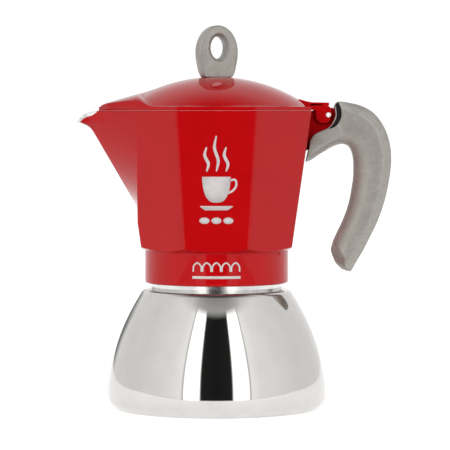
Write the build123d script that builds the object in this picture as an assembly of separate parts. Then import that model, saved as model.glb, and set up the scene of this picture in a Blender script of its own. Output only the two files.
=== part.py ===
from build123d import *
import os
from math import cos, radians, sin, sqrt, tan

os.makedirs("parts", exist_ok=True)

# A six-cup stove-top moka pot, in millimetres. Z is the pot's axis, z = 0 is the foot of the boiler,
# the spout points to -X and the handle to +X.

# ---- boiler -------------------------------------------------------------------------------------------
BASE_R = 60.0            # widest radius of the steel bell
FOOT_R = 51.5            # flat foot
STEEL_T = 0.8            # outer steel skin
LINER_T = 2.2            # inner aluminium liner
FOOT_T = 3.0             # liner thickness under the water
WALL_Z0 = 9.0            # the wall starts above the rounded foot
SHOULDER_Z = 64.1        # top of the bell's wall
SWEEP = 0.01058          # the wall draws in by SWEEP * (z - WALL_Z0) ** SWEEP_POWER
SWEEP_POWER = 1.865
SHOULDER_BREAK = 0.9     # small bevel between the wall and the cone above it
SKIN_TOP = (36.2, 67.0)  # where the steel skin ends against the neck
NECK_BORE_R = 31.0
NECK_LAND_R = 35.5       # turned ring seen under the collar
NECK_LAND_TOP = 69.6
NECK_ROOT_R = 34.2       # root of the outside thread
NECK_CREST_R = 35.4
NECK_TOP = 84.0

# ---- screw joint --------------------------------------------------------------------------------------
LEAD = 4.0               # rise for one turn, single start, right hand
RIDGE_FOOT = 2.4         # axial width of a ridge at its foot
RIDGE_CREST = 1.3        # and at its crest
RIDGE_SINK = 0.25        # how far a ridge is let into the wall that carries it
NECK_THREAD_Z = 72.0     # centre of the first outside ridge at angle 0
THREAD_H = 9.6           # height that each helix climbs
COLLAR_BORE_R = 35.8
COLLAR_CREST_R = 34.6

# ---- funnel, gasket and filter ------------------------------------------------------------------------
BASKET_R = 30.6
BASKET_WALL = 1.0
BASKET_FLOOR_Z = 61.0
PLATE_SEAT_R = 27.2      # pocket in the basket's floor for the perforated plate
FUNNEL_RIM_R = 34.1
FUNNEL_RIM_T = 1.2
CONE_BOTTOM_Z = 46.0
TUBE_R = 4.5
TUBE_BORE_R = 3.4
TUBE_BOTTOM_Z = 8.0
GASKET_R = 34.3
GASKET_BORE_R = 27.5
GASKET_T = 3.0
GASKET_Z = NECK_TOP + FUNNEL_RIM_T
PLATE_T = 0.8
PLATE_R = 31.0

# ---- collector ----------------------------------------------------------------------------------------
COLLAR_R = 39.5
COLLAR_Z = 69.3
COLLAR_TOP_Z = 87.2
RIM_Z = 163.8
FLAT_LOW = (86.0, 40.6)   # height and half-width across flats low down
FLAT_RIM = 51.6           # half-width across flats at the rim
WALL_T = 2.8
FLOOR_Z = 92.0            # inside floor at the wall
FLOOR_CENTRE_Z = 95.0
SPOUT_ROOT_X = 43.0       # where the spout's sides leave the diagonal facets
SPOUT_T = 2.2
# height and reach of the spout's keel
SPOUT_KEEL = [(108.0, 43.6), (114.3, 45.7), (149.9, 66.9), (153.2, 69.1), (155.9, 71.9), (157.4, 77.1)]
LIP_EDGE = [(-65.5, RIM_Z), (-68.2, 163.2), (-71.2, 162.5), (-73.4, 161.4), (-75.6, 159.2), (-77.6, 157.0)]
COLUMN_SOCKET_R = 5.0     # the column is pressed into this hole in the floor
COLUMN_FOOT_R = 8.5
COLUMN_TOP_R = 5.9
COLUMN_BORE_R = 4.0
CAP_R = 7.0
CAP_H = 3.2
COLUMN_TOP_Z = 142.0

# ---- hinge --------------------------------------------------------------------------------------------
PIN_X = 61.2
PIN_Z = 161.5
PIN_R = 1.3
PIN_HOLE_R = 1.35
PIN_HALF = 7.6
LUG_HALF = 3.9
EAR_IN = 4.3
EAR_OUT = 7.2
EAR_X = 58.8
EAR_R = 4.6

# ---- lid and knob -------------------------------------------------------------------------------------
LID_SPHERE_R = 87.8
LID_CENTRE_Z = 94.6
LID_T = 1.6
LID_GAP = 0.2
LID_FLAT = 51.5
LID_EDGE_T = 2.0
LID_TOP_Z = LID_CENTRE_Z + LID_SPHERE_R
COVER_RIDGE = [(-38.0, 175.0), (-60.3, 168.0), (-63.2, 166.6), (-64.7, 164.3)]
KNOB_TURN = 14.0
KNOB_HALF_W = 11.25
KNOB_WIDE_Z = 195.3
KNOB_TOP_Z = 210.6
KNOB_LOWER_H = 17.9      # half-height of the lower ellipse, which the lid cuts off
KNOB_HALF_T = 5.5
KNOB_HOLE = (8.3, 12.4, 198.3)   # width, height and centre height of the finger hole
INSERT_R = 3.0
KNOB_SHANK_R = 1.9
KNOB_WASHER = (5.0, 179.8, 180.6)   # radius, underside and top

# ---- handle -------------------------------------------------------------------------------------------
HANDLE_HALF_T = 10.5
HANDLE_POCKET_HALF = 7.8
HINGE_ROOM_R = 7.4       # room round the pin for the ears
HINGE_ROOM_X = 70.4      # and behind it for the top plate of the opened lid
SCREW_X = 57.0           # upright screw that holds the handle to the boss from below
SCREW_R = 2.0
SCREW_HEAD_Z = 143.2
SCREW_TOP_Z = 150.5
BOSS = [(46, 140), (62, 148), (62, 153.4), (46, 153.4)]

# ---- safety valve on the back of the boiler -----------------------------------------------------------
VALVE_SEAT = (0.0, 54.6, 39.5)
VALVE_TILT = 20.0        # the valve leans with the wall


def octagon(z, half):
    """A horizontal octagon with flats across X and Y."""
    return Plane.XY.offset(z) * RegularPolygon(half, 8, major_radius=False, rotation=22.5)


def flat_at(z, inset=0.0):
    """Half-width across flats of the collector at a height."""
    low_z, low = FLAT_LOW
    return low + (z - low_z) * (FLAT_RIM - low) / (RIM_Z - low_z) - inset


def ring(r_out, r_in, z0, z1):
    """A plain tube section."""
    body = Pos(0, 0, z0) * Cylinder(r_out, z1 - z0, align=(Align.CENTER, Align.CENTER, Align.MIN))
    bore = Pos(0, 0, z0) * Cylinder(r_in, z1 - z0, align=(Align.CENTER, Align.CENTER, Align.MIN))
    return body - bore


def disc(r, z0, z1):
    """A plain round slab."""
    return Pos(0, 0, z0) * Cylinder(r, z1 - z0, align=(Align.CENTER, Align.CENTER, Align.MIN))


def turned(points):
    """A solid of revolution about Z from (radius, height) corners."""
    return revolve(Plane.XZ * Polygon(*points, align=None), Axis.Z)


def y_rod(r, x, z, y0, y1):
    """A round rod along Y."""
    return Pos(x, (y0 + y1) / 2, z) * Rot(90, 0, 0) * Cylinder(r, y1 - y0)


def side_plate(face, y0, y1):
    """A plate cut from an outline in the XZ plane, from y0 to y1."""
    return Pos(0, y1, 0) * extrude(Plane.XZ * face, y1 - y0)


def helical_ridge(foot_r, crest_r, z0, height):
    """One helical thread ridge; it grows outward or inward from foot_r to crest_r."""
    sink = RIDGE_SINK if crest_r > foot_r else -RIDGE_SINK
    path = Helix(LEAD, height, foot_r, center=(0, 0, z0))
    section = Plane(origin=(foot_r, 0, z0), x_dir=(1, 0, 0), z_dir=(0, 1, 0)) * Polygon(
        (-sink, -RIDGE_FOOT / 2),
        (-sink, RIDGE_FOOT / 2),
        (crest_r - foot_r, RIDGE_CREST / 2),
        (crest_r - foot_r, -RIDGE_CREST / 2),
        align=None,
    )
    return sweep(section, path=path, is_frenet=True)


def wall_r(z):
    """Outside radius of the bell's wall at a height."""
    return BASE_R - SWEEP * (z - WALL_Z0) ** SWEEP_POWER


def bell_face(inset, foot_inset):
    """Half section of the bell, drawn in by inset on the wall and raised by foot_inset at the foot."""
    rise = SHOULDER_Z - WALL_Z0
    wall = [(wall_r(WALL_Z0 + rise * n / 5) - inset, WALL_Z0 + rise * n / 5) for n in range(6)]
    lean = -SWEEP * SWEEP_POWER * rise ** (SWEEP_POWER - 1)
    foot = (FOOT_R - inset, foot_inset)
    curve = Spline(*wall, tangents=[(0, 1), (lean, 1)])
    bottom = Line((0, foot_inset), foot)
    toe = TangentArc(foot, wall[0], tangent=(1, 0))
    top_r = SKIN_TOP[0] - inset
    shoulder_r, shoulder_z = wall[-1]
    bevel = (shoulder_r - SHOULDER_BREAK, shoulder_z + SHOULDER_BREAK)
    shoulder = Polyline(wall[-1], bevel, (top_r, SKIN_TOP[1]))
    close = Polyline((top_r, SKIN_TOP[1]), (0, SKIN_TOP[1]), (0, foot_inset))
    return Plane.XZ * make_face([bottom, toe, curve, shoulder, close])


def bell(inset, foot_inset):
    """The bell as a full solid."""
    return revolve(bell_face(inset, foot_inset), Axis.Z)


def boiler_shell(seat):
    """Polished steel skin with a flat pad and a hole for the valve."""
    skin = bell(0, 0) - bell(STEEL_T, STEEL_T) - disc(NECK_LAND_R - 0.4, 60, 70)
    pad = seat * Pos(0, 0, -3.0) * Cylinder(8.5, 3.0, align=(Align.CENTER, Align.CENTER, Align.MIN))
    skin += pad - bell(STEEL_T, STEEL_T)
    return skin - seat * Cylinder(4.6, 20)


def boiler_liner(seat):
    """Aluminium liner with the turned and threaded neck."""
    inner_t = STEEL_T + LINER_T
    hollow = bell(inner_t, STEEL_T + FOOT_T) & disc(BASE_R + 10, 0, SHOULDER_Z - 2.5)
    neck = turned([
        (NECK_BORE_R, 58), (NECK_LAND_R - 0.4, 58), (NECK_LAND_R - 0.4, SKIN_TOP[1]),
        (NECK_LAND_R, SKIN_TOP[1]), (NECK_LAND_R, NECK_LAND_TOP), (NECK_ROOT_R, NECK_LAND_TOP + 0.8),
        (NECK_ROOT_R, NECK_TOP - 0.8), (NECK_ROOT_R - 0.8, NECK_TOP), (NECK_BORE_R, NECK_TOP),
    ])
    neck += helical_ridge(NECK_ROOT_R, NECK_CREST_R, NECK_THREAD_Z, THREAD_H)
    body = bell(STEEL_T, STEEL_T) - hollow - disc(NECK_BORE_R, 50, 90)
    return body + neck - seat * Cylinder(4.6, 24)


def valve_parts(seat):
    """The relief valve's pieces, placed on the seat; u is the distance outward from the seat."""
    up = (Align.CENTER, Align.CENTER, Align.MIN)

    def rod(r, u0, u1):
        return Pos(0, 0, u0) * Cylinder(r, u1 - u0, align=up)

    washer = rod(7.4, 0, 1.0) - rod(4.7, 0, 1.0)
    hexagon = extrude(Plane.XY.offset(1.0) * RegularPolygon(6.5, 6, major_radius=False), 4.6)
    body = chamfer(hexagon.edges().group_by(Axis.Z)[-1], 0.5) + rod(4.5, -7.5, 1.0) + rod(3.6, 5.0, 6.4)
    body -= rod(3.0, -7.5, 4.0) + rod(1.35, 4.0, 7.0)
    retainer = rod(2.95, -7.5, -6.1) - rod(1.7, -7.5, -6.1)
    pin = rod(1.25, -4.9, 8.2) + rod(2.5, -4.9, -4.1)
    pin = chamfer(pin.edges().group_by(Axis.Z)[-1], 0.3)
    seal = rod(2.4, -6.0, -4.9)
    coil = Helix(1.45, 7.0, 2.1, center=(0, 0, -3.6))
    spring = sweep(Plane(origin=coil @ 0, z_dir=coil % 0) * Circle(0.32), path=coil, is_frenet=True)
    named = {
        "valve_washer": washer, "valve_body": body, "valve_retainer": retainer,
        "valve_pin": pin, "valve_seal": seal, "valve_spring": spring,
    }
    return {name: seat * shape for name, shape in named.items()}


def funnel():
    """Coffee basket, cone and dip tube in one piece."""
    low = BASKET_FLOOR_Z
    rim_z = NECK_TOP + FUNNEL_RIM_T
    inner = BASKET_R - BASKET_WALL
    outer_points = [
        (TUBE_R, TUBE_BOTTOM_Z), (TUBE_R, CONE_BOTTOM_Z), (BASKET_R - 6, low - 3), (BASKET_R, low + 1.5),
        (BASKET_R, NECK_TOP), (FUNNEL_RIM_R, NECK_TOP), (FUNNEL_RIM_R, rim_z), (inner, rim_z),
        (inner, low + 1.2), (PLATE_SEAT_R, low), (PLATE_SEAT_R, low - 1.0), (PLATE_SEAT_R - 2, low - 1.0),
        (TUBE_BORE_R, CONE_BOTTOM_Z + 1),
        (TUBE_BORE_R, TUBE_BOTTOM_Z),
    ]
    body = turned(outer_points)
    slots = Rot(0, 0, 45) * Pos(0, 0, TUBE_BOTTOM_Z) * Box(12, 1.6, 5)
    return body - slots


def perforated(r, z0, thickness, rings, hole_r, pitch):
    """A round plate drilled in rings."""
    plate = disc(r, z0, z0 + thickness)
    drill = Plane.XY.offset(z0 - 1) * Circle(hole_r)
    spots = [Pos(0, 0, 0)]
    for n in range(1, rings + 1):
        spots += PolarLocations(n * pitch, 6 * n).locations
    return plate - extrude(Sketch() + [spot * drill for spot in spots], thickness + 2)


def spout_section(z, reach, inset):
    """Horizontal section of the spout: from the diagonal facets to the rounded keel."""
    root_y = sqrt(2) * flat_at(z) - SPOUT_ROOT_X - inset * 1.3
    root_x = -SPOUT_ROOT_X + 8 * (1 if inset else 0.4)
    tip = -reach + inset * 1.25
    run = SPOUT_ROOT_X + tip
    blunt = 1.6 if inset == 0 else 1.0
    shoulder_x = tip + blunt * 0.7
    shoulder_y = min(root_y, root_y * (shoulder_x + reach) / max(-run, 1.0) + blunt * 0.5)
    outline = [
        Line((root_x, -root_y), (-SPOUT_ROOT_X, -root_y)),
        Line((-SPOUT_ROOT_X, -root_y), (shoulder_x, -shoulder_y)),
        ThreePointArc((shoulder_x, -shoulder_y), (tip, 0), (shoulder_x, shoulder_y)),
        Line((shoulder_x, shoulder_y), (-SPOUT_ROOT_X, root_y)),
        Line((-SPOUT_ROOT_X, root_y), (root_x, root_y)),
        Line((root_x, root_y), (root_x, -root_y)),
    ]
    return Plane.XY.offset(z) * make_face(outline)


def spout(inset=0.0):
    """The V of the spout, solid; its inside when inset is given."""
    levels = SPOUT_KEEL if inset == 0 else SPOUT_KEEL[1:]
    top = RIM_Z if inset == 0 else RIM_Z + 3
    sections = [spout_section(z + inset * 0.9, reach, inset) for z, reach in levels]
    sections.append(spout_section(top, levels[-1][1], inset))
    return loft(sections, ruled=True)


def lip_cut():
    """What is taken off above the dropping edge of the lip."""
    over = [(LIP_EDGE[0][0], RIM_Z + 8), (-90, RIM_Z + 8), (-90, LIP_EDGE[-1][1])]
    edge = make_face([Spline(*LIP_EDGE), Polyline(LIP_EDGE[-1], *reversed(over), LIP_EDGE[0])])
    return side_plate(edge, -40, 40)


def above_cone():
    """Everything above the shallow cone that joins the collar to the facets."""
    rise = tan(radians(25))
    return turned([
        (0, COLLAR_TOP_Z - 3), (COLLAR_R, COLLAR_TOP_Z), (110, COLLAR_TOP_Z + (110 - COLLAR_R) * rise),
        (110, 200), (0, 200),
    ])


def facets(inset, z0, z1):
    """The tapered octagonal body, or its inside when inset is given."""
    block = loft([octagon(z0, flat_at(z0, inset)), octagon(z1, flat_at(z1, inset))])
    upright = block.edges().filter_by(lambda e: abs(e.tangent_at(0.5).Z) > 0.8)
    return fillet(upright, 1.6 if inset == 0 else 1.0)


def hinge_lug():
    """The tongue on the collector that holds the hinge pin, and the boss for the handle under it."""
    tongue = make_face(Polyline(
        (47, 141), (58, 146.5), (58, 154.2), (PIN_X, PIN_Z - 4.4), (PIN_X, PIN_Z + 2.6),
        (50, PIN_Z + 1.5), (47, 158), close=True,
    ))
    tongue += Pos(PIN_X, PIN_Z) * Circle(3.6)
    boss = make_face(Polyline(*BOSS, close=True))
    lug = side_plate(tongue, -LUG_HALF, LUG_HALF) + side_plate(boss, -LUG_HALF, LUG_HALF)
    screw_hole = Pos(SCREW_X, 0, 0) * disc(SCREW_R, 140, SCREW_TOP_Z)
    return lug - screw_hole - y_rod(PIN_HOLE_R, PIN_X, PIN_Z, -10, 10)


def collector():
    """The cast upper chamber: collar with its inside thread, facets, spout and lug."""
    outside = (facets(0, FLAT_LOW[0], RIM_Z) & above_cone()) + spout()
    outside += fillet(disc(COLLAR_R, COLLAR_Z, COLLAR_TOP_Z + 0.6).edges().group_by(Axis.Z)[0], 1.5)
    inside = facets(WALL_T, FLOOR_Z, RIM_Z + 3) + spout(SPOUT_T)
    heap = turned([(0, FLOOR_Z - 1), (33, FLOOR_Z - 1), (33, FLOOR_Z), (12, FLOOR_CENTRE_Z), (0, FLOOR_CENTRE_Z)])
    body = outside - (inside - heap) + hinge_lug()
    under = disc(COLLAR_BORE_R, COLLAR_Z - 1, GASKET_Z + 0.6) + disc(GASKET_R + 0.2, GASKET_Z, GASKET_Z + GASKET_T)
    under += disc(PLATE_R + 0.3, GASKET_Z, GASKET_Z + GASKET_T + PLATE_T)
    top = GASKET_Z + GASKET_T + PLATE_T
    under += turned([(0, top - 1), (28, top - 1), (28, top), (9, FLOOR_Z - 0.3), (0, FLOOR_Z - 0.3)])
    body -= under
    body += helical_ridge(COLLAR_BORE_R, COLLAR_CREST_R, NECK_THREAD_Z + LEAD / 2, THREAD_H)
    return body - disc(COLUMN_SOCKET_R, 80, 110) - lip_cut()


def coffee_column():
    """The hollow column that the coffee rises through, with side windows under its cap."""
    body = turned([
        (COLUMN_BORE_R, FLOOR_Z - 1.5), (COLUMN_SOCKET_R, FLOOR_Z - 1.5), (COLUMN_SOCKET_R, FLOOR_CENTRE_Z),
        (COLUMN_FOOT_R, FLOOR_CENTRE_Z), (COLUMN_FOOT_R - 1.1, FLOOR_CENTRE_Z + 8), (COLUMN_TOP_R, COLUMN_TOP_Z),
        (COLUMN_BORE_R, COLUMN_TOP_Z),
    ])
    windows = Pos(0, 0, COLUMN_TOP_Z - 3.5) * (Box(20, 4.2, 5) + Box(4.2, 20, 5))
    return body - windows


def column_cap():
    """Domed cap pressed into the top of the column."""
    plug = disc(COLUMN_BORE_R, COLUMN_TOP_Z - 0.9, COLUMN_TOP_Z)
    dome = Pos(0, 0, COLUMN_TOP_Z) * Sphere(CAP_R) & disc(CAP_R, COLUMN_TOP_Z, COLUMN_TOP_Z + CAP_H)
    return plug + dome


def lid_plan(half):
    """Outline of the lid seen from above: the octagon with the blunt spout cover."""
    eight = RegularPolygon(half, 8, major_radius=False, rotation=22.5)
    root_y = sqrt(2) * half - SPOUT_ROOT_X - 0.4
    nose_y = 8.6
    nose_x = -61.6
    cover = make_face([
        Polyline((nose_x, -nose_y), (-SPOUT_ROOT_X, -root_y), (0, -root_y), (0, root_y),
                 (-SPOUT_ROOT_X, root_y), (nose_x, nose_y)),
        ThreePointArc((nose_x, nose_y), (COVER_RIDGE[-1][0], 0), (nose_x, -nose_y)),
    ])
    return eight, cover


def gable(drop):
    """The two roof planes of the spout cover as a solid, lowered by drop."""
    sections = []
    for x, z in COVER_RIDGE:
        half = (77.6 + x) * 0.93 + 3
        low = RIM_Z - 4
        sections.append(Plane(origin=(x, 0, 0), x_dir=(0, 1, 0), z_dir=(1, 0, 0)) * Polygon(
            (-half, low), (-half, RIM_Z + 1.0 - drop), (0, z - drop), (half, RIM_Z + 1.0 - drop), (half, low),
            align=None,
        ))
    return loft(sections, ruled=True)


def lid():
    """Domed lid with its spout cover and the two hinge ears."""
    eight, cover = lid_plan(LID_FLAT)
    bottom = RIM_Z + LID_GAP
    prism = extrude(Plane.XY.offset(bottom) * eight, 30)
    cover_prism = extrude(Plane.XY.offset(bottom) * cover, 30)
    dome = Pos(0, 0, LID_CENTRE_Z) * Sphere(LID_SPHERE_R)
    inner_dome = Pos(0, 0, LID_CENTRE_Z) * Sphere(LID_SPHERE_R - LID_T)
    edge = extrude(Plane.XY.offset(bottom) * eight, LID_EDGE_T)
    shell = (dome & prism) + edge + (gable(0) & cover_prism)
    under = (inner_dome & disc(49.0, RIM_Z - 5, 200)) + (gable(LID_T) & Pos(1.6, 0, 0) * cover_prism)
    shell -= under & disc(100, RIM_Z - 5, 200)
    ears = hinge_ears()
    return shell + ears - y_rod(PIN_HOLE_R, PIN_X, PIN_Z, -10, 10) - disc(2.2, 170, 190)


def hinge_ears():
    """Two cheeks that reach down to the pin, under a squared top plate."""
    cheek = make_face(Polyline(
        (49.5, 165.2), (52, 167.9), (61.7, 167.0), (EAR_X + 4.0, PIN_Z + 2.0), (EAR_X, PIN_Z - 2),
        (54.4, PIN_Z + 1.5), (52.5, 164.2), close=True,
    ))
    cheek += Pos(EAR_X, PIN_Z - 0.3) * Circle(EAR_R)
    plate = make_face(Polyline(
        (44.5, 168.2), (45.2, 170.0), (51.5, 168.6), (61.6, 168.2), (61.6, 166.6), (50, 166.2), close=True,
    ))
    ears = side_plate(cheek, EAR_IN, EAR_OUT) + side_plate(cheek, -EAR_OUT, -EAR_IN)
    return ears + side_plate(plate, -EAR_OUT, EAR_OUT)


def knob():
    """Ring-shaped knob with an oval finger hole and a stud socket under it."""
    upper_h = KNOB_TOP_Z - KNOB_WIDE_Z
    upper = Pos(0, KNOB_WIDE_Z) * Ellipse(KNOB_HALF_W, upper_h)
    lower = Pos(0, KNOB_WIDE_Z) * Ellipse(KNOB_HALF_W, KNOB_LOWER_H)
    upper &= Pos(0, KNOB_WIDE_Z + 20) * Rectangle(60, 40)
    skirt_z = LID_TOP_Z - 0.8
    lower &= Pos(0, (KNOB_WIDE_Z + skirt_z) / 2) * Rectangle(60, KNOB_WIDE_Z - skirt_z)
    width, height, centre = KNOB_HOLE
    outline = Plane.XZ * (upper + lower)
    body = extrude(outline, KNOB_HALF_T, both=True)
    body = fillet(body.edges().filter_by(lambda e: e.center().Z > LID_TOP_Z + 1 and abs(e.center().Y) > 5), 2.4)
    hole = extrude(Plane.XZ * (Pos(0, centre) * Ellipse(width / 2, height / 2)), 20, both=True)
    dish = loft([
        Plane.XZ.offset(KNOB_HALF_T + 0.1) * (Pos(0, centre) * Ellipse(width / 2 + 1.7, height / 2 + 1.7)),
        Plane.XZ.offset(KNOB_HALF_T - 1.6) * (Pos(0, centre) * Ellipse(width / 2, height / 2)),
    ])
    body -= hole + dish + mirror(dish, Plane.XZ)
    socket = disc(INSERT_R, LID_TOP_Z - 1, LID_TOP_Z + 7.4)
    lid_dome = Pos(0, 0, LID_CENTRE_Z) * Sphere(LID_SPHERE_R)
    return Rot(0, 0, KNOB_TURN) * (body - socket - lid_dome)


def slotted_screw(head_r, head_z, shank_r, top_z, head_t=2.0):
    """An upright screw, head down, with a slot across its head."""
    head = disc(head_r, head_z - head_t, head_z)
    head = fillet(head.edges().group_by(Axis.Z)[0], head_t * 0.45)
    slot = Pos(0, 0, head_z - head_t) * Box(3 * head_r, 0.9, head_t)
    return head - slot + disc(shank_r, head_z, top_z)


def handle_face():
    """Side outline of the handle."""
    outer = Spline((72.8, 168.2), (82.7, 164.9), (90.9, 156.5), (95.9, 137.0), (92.0, 113.6), (83.8, 93.8),
                   (74.1, 76.0), tangents=[(1, -0.05), (-0.5, -1)])
    tip = Spline((74.1, 76.0), (72.0, 74.7), (67.8, 77.3), (63.2, 86.5), (64.5, 93.8))
    inner = Spline((64.5, 93.8), (70.6, 107.0), (74.9, 125.0), (75.0, 136.7), (73.4, 143.0), (69.2, 145.5),
                   (62.3, 143.3), (51.9, 136.7))
    throat = Polyline((51.9, 136.7), (49.2, 134.9), (50.6, 142.0), (52.3, 149.6))
    cheek = Spline((52.3, 149.6), (57.4, 152.6), (63.2, 155.4), (66.4, 160.5), (65.6, 168.3))
    top = Line((65.6, 168.3), (72.8, 168.2))
    return make_face([outer, tip, inner, throat, cheek, top])


def handle():
    """Moulded handle: a hooked grip, cheeks beside the hinge and a slot for the collector's boss."""
    body = side_plate(handle_face(), -HANDLE_HALF_T, HANDLE_HALF_T)
    hinge_room = y_rod(HINGE_ROOM_R, PIN_X, PIN_Z, -HANDLE_POCKET_HALF, HANDLE_POCKET_HALF)
    swing = make_face(Polyline(
        (PIN_X, PIN_Z), (HINGE_ROOM_X, PIN_Z), (HINGE_ROOM_X, RIM_Z + 8), (PIN_X, RIM_Z + 8), close=True,
    ))
    hinge_room += side_plate(swing, -HANDLE_POCKET_HALF, HANDLE_POCKET_HALF)
    slot_face = make_face(Polyline((46, 139.6), (62.3, 147.8), (62.3, 158), (46, 158), close=True))
    slot = side_plate(slot_face, -LUG_HALF - 0.1, LUG_HALF + 0.1)
    screw_way = Pos(SCREW_X, 0, 0) * (disc(SCREW_R + 0.1, 130, 150) + disc(4.0, 130, SCREW_HEAD_Z))
    return body - hinge_room - slot - screw_way


def write(shapes):
    """Write one STEP file for each named piece."""
    for name, shape in shapes.items():
        shape.label = name
        export_step(shape, f"parts/{name}.step")


seat_plane = Plane(origin=VALVE_SEAT, x_dir=(1, 0, 0), z_dir=(0, cos(radians(VALVE_TILT)), sin(radians(VALVE_TILT))))
seat = seat_plane.location
plate_z = GASKET_Z + GASKET_T
shapes = {
    "boiler_shell": boiler_shell(seat),
    "boiler_liner": boiler_liner(seat),
    **valve_parts(seat),
    "funnel": funnel(),
    "funnel_plate": perforated(PLATE_SEAT_R - 0.1, BASKET_FLOOR_Z - 1.0, 1.0, 6, 0.75, 4.0),
    "gasket": ring(GASKET_R, GASKET_BORE_R, GASKET_Z, GASKET_Z + GASKET_T),
    "filter_plate": perforated(PLATE_R, plate_z, PLATE_T, 7, 0.6, 3.8),
    "collector": collector(),
    "coffee_column": coffee_column(),
    "column_cap": column_cap(),
    "hinge_pin": y_rod(PIN_R, PIN_X, PIN_Z, -PIN_HALF, PIN_HALF),
    "handle": handle(),
    "handle_screw": Pos(SCREW_X, 0, 0) * slotted_screw(3.6, SCREW_HEAD_Z, SCREW_R, SCREW_TOP_Z),
    "lid": lid(),
    "knob": knob(),
    "knob_insert": ring(INSERT_R, KNOB_SHANK_R + 0.1, LID_TOP_Z + 0.1, LID_TOP_Z + 7.2),
    "knob_washer": ring(KNOB_WASHER[0], KNOB_SHANK_R + 0.2, KNOB_WASHER[1], KNOB_WASHER[2]),
    "knob_screw": slotted_screw(3.6, KNOB_WASHER[1], KNOB_SHANK_R, LID_TOP_Z + 6.6),
}
write(shapes)
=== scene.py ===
"""Six-cup moka pot: the visible pieces, their finishes and a pale studio."""

import logging
import math
from collections.abc import Callable, Sequence
from dataclasses import dataclass, field
from enum import Enum

import bmesh
import bpy
from mathutils import Matrix, Vector


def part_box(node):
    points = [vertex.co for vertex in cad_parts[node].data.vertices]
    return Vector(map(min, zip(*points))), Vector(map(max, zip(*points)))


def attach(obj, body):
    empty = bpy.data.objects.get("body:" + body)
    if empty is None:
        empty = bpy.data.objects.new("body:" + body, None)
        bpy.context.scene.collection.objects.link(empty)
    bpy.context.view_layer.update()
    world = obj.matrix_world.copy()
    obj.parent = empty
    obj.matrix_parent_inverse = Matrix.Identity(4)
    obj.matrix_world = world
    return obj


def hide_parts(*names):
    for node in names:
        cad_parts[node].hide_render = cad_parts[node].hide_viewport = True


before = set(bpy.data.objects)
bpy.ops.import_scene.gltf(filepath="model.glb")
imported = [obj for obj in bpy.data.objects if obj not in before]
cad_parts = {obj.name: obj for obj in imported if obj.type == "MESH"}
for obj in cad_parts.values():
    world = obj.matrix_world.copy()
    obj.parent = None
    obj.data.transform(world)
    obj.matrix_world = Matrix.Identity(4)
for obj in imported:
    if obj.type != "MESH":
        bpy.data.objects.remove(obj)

Pair = tuple[float, float]
Triple = tuple[float, float, float]
Ring = list[Triple]
Place = Callable[[float, float, float], Triple]

MM = 0.001
TAN_HALF_CORNER = math.tan(math.radians(22.5))
PIN_SPOT = (61.2, 161.5)  # the lid's pin, in the XZ plane
PIN_HOLE_R = 1.35
SPOUT_ROOT_X = 43.0  # where the spout leaves the diagonal facets
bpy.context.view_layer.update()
log = logging.getLogger("moka_pot")


class Body(Enum):
    """The moving bodies that pieces ride on."""

    BOILER = "boiler"
    COLLECTOR = "collector"
    LID = "lid"


class Slot(Enum):
    """The record's material slots."""

    STEEL = "polished_steel"
    LINER = "liner_aluminium"
    LACQUER = "red_lacquer"
    PEWTER = "pewter_plastic"
    CAST = "cast_aluminium"
    PRESSED = "pressed_aluminium"
    BRASS = "brass"
    SILICONE = "silicone"
    BRIGHT = "bright_steel"


# ---------------------------------------------------------------------------------------- mesh helpers


def mesh_object(name: str, points: Sequence[Triple], faces: Sequence[Sequence[int]]) -> bpy.types.Object:
    """Make a smooth-shaded mesh object.

    Args:
        name: The piece's name.
        points: Vertices in millimetres.
        faces: Vertex numbers of each face.

    Returns:
        The new object, linked to the scene.
    """
    mesh = bpy.data.meshes.new(name)
    mesh.from_pydata([(x * MM, y * MM, z * MM) for x, y, z in points], [], [list(f) for f in faces])
    work = bmesh.new()
    work.from_mesh(mesh)
    bmesh.ops.remove_doubles(work, verts=work.verts, dist=2e-6)
    bmesh.ops.dissolve_degenerate(work, edges=work.edges, dist=1e-6)
    bmesh.ops.recalc_face_normals(work, faces=work.faces)
    if work.calc_volume(signed=True) < 0:
        bmesh.ops.reverse_faces(work, faces=work.faces)
    work.to_mesh(mesh)
    work.free()
    mesh.shade_smooth()
    piece = bpy.data.objects.new(name, mesh)
    bpy.context.scene.collection.objects.link(piece)
    return piece


def loft(name: str, rings: Sequence[Ring], wrap: bool = False, cap: bool = False) -> bpy.types.Object:
    """Skin closed rings that all have as many points.

    Args:
        name: The piece's name.
        rings: The rings in order.
        wrap: Whether the last ring joins the first.
        cap: Whether the first and last rings are filled.

    Returns:
        The new object.
    """
    count = len(rings[0])
    points = [p for ring in rings for p in ring]
    faces: list[list[int]] = []
    for n in range(len(rings) if wrap else len(rings) - 1):
        here, there = n * count, (n + 1) % len(rings) * count
        for k in range(count):
            nxt = (k + 1) % count
            faces.append([here + k, here + nxt, there + nxt, there + k])
    if cap:
        faces.append(list(range(count))[::-1])
        faces.append([len(points) - count + k for k in range(count)])
    return mesh_object(name, points, faces)


def turned(name: str, profile: Sequence[Pair], around: int = 256) -> bpy.types.Object:
    """Turn a closed (radius, height) profile about Z."""
    rings = [
        [(r * math.cos(a), r * math.sin(a), z) for r, z in profile]
        for a in (math.tau * n / around for n in range(around))
    ]
    return loft(name, rings, wrap=True)


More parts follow.
